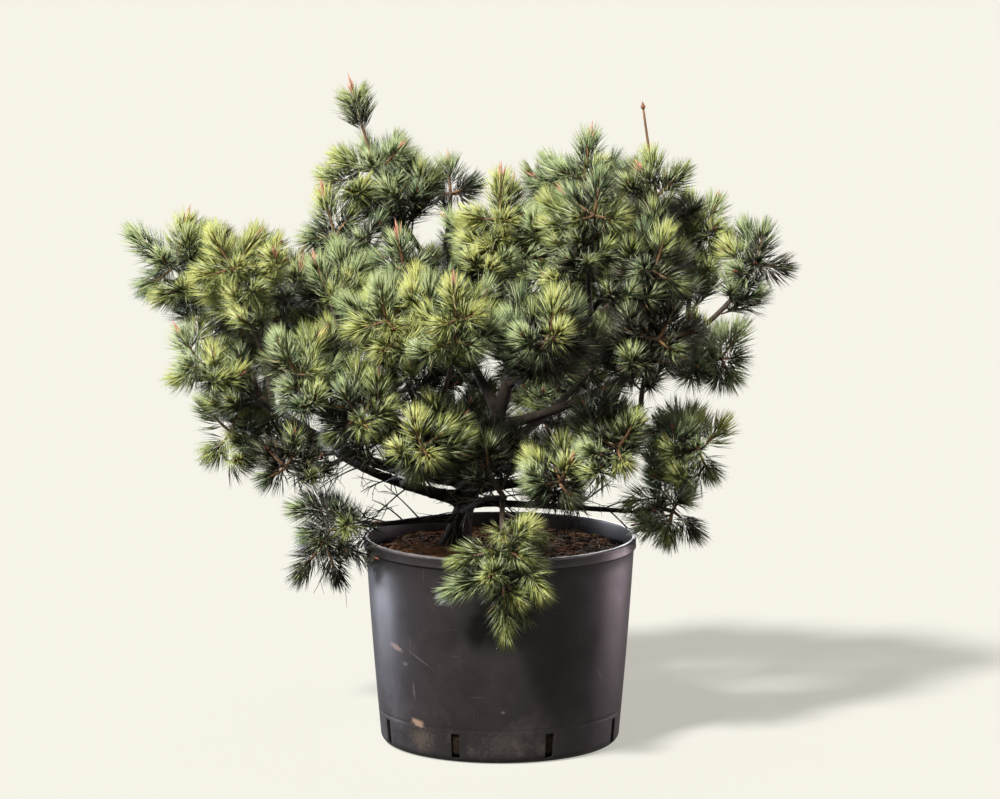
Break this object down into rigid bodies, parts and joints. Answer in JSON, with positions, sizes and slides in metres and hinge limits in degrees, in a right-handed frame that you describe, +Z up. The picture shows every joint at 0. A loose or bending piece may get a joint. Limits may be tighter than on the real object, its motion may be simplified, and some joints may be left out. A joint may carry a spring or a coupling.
{
  "type": "potted dwarf siberian pine",
  "caption": "Dwarf blue Siberian pine with long soft needle sprays on a short leaning trunk, growing in a round black nursery pot of potting soil.",
  "frame": {"origin": "centre of the pot's flat underside", "axes": "+Z up, -Y towards the front of the plant, +X to its right"},
  "size_m": [1.2041, 0.8831, 1.1601],
  "materials": {
    "pot": "blow-moulded charcoal plastic, semi-gloss, scuffed and dusty",
    "soil": "dark peat and bark compost with fallen dry needles",
    "bark": "rough dark grey-brown pine bark",
    "foliage": "long blue-green to yellow-green needles in bundles on orange-brown twigs"
  },
  "bodies": {
    "root": {"pot": "pot", "soil": "soil", "trunk": "bark", "bough_back_high": "bark", "bough_back_left": "bark", "bough_back_low": "bark", "bough_back_right": "bark", "bough_centre_front": "bark", "bough_far_right": "bark", "bough_front_low": "bark", "bough_left_drooping": "bark", "bough_left_front": "bark", "bough_left_high": "bark", "bough_left_low": "bark", "bough_right_low": "bark", "bough_right_lowest": "bark", "bough_right_middle": "bark", "bough_top_left": "bark", "bough_top_right": "bark", "foliage_back_crown": "foliage", "foliage_back_far_left": "foliage", "foliage_back_left": "foliage", "foliage_back_middle": "foliage", "foliage_back_right": "foliage", "foliage_back_skirt": "foliage", "foliage_back_top_left": "foliage", "foliage_back_top_right": "foliage", "foliage_centre_low": "foliage", "foliage_centre_top": "foliage", "foliage_far_left": "foliage", "foliage_far_right": "foliage", "foliage_front_centre_low": "foliage", "foliage_front_hanging": "foliage", "foliage_front_left": "foliage", "foliage_front_left_low": "foliage", "foliage_front_middle": "foliage", "foliage_front_right": "foliage", "foliage_front_right_low": "foliage", "foliage_left_crown": "foliage", "foliage_left_hanging": "foliage", "foliage_left_middle": "foliage", "foliage_left_shaded": "foliage", "foliage_left_side": "foliage", "foliage_left_skirt": "foliage", "foliage_left_top": "foliage", "foliage_left_under": "foliage", "foliage_middle_crown": "foliage", "foliage_right_crown": "foliage", "foliage_right_front_low": "foliage", "foliage_right_hanging": "foliage", "foliage_right_middle": "foliage", "foliage_right_shoulder": "foliage", "foliage_right_side": "foliage", "foliage_right_skirt": "foliage", "foliage_right_top_front": "foliage", "foliage_top_far_right": "foliage", "foliage_top_left": "foliage", "foliage_top_right": "foliage", "foliage_upper_left": "foliage", "foliage_upper_middle": "foliage"}
  },
  "joints": []
}
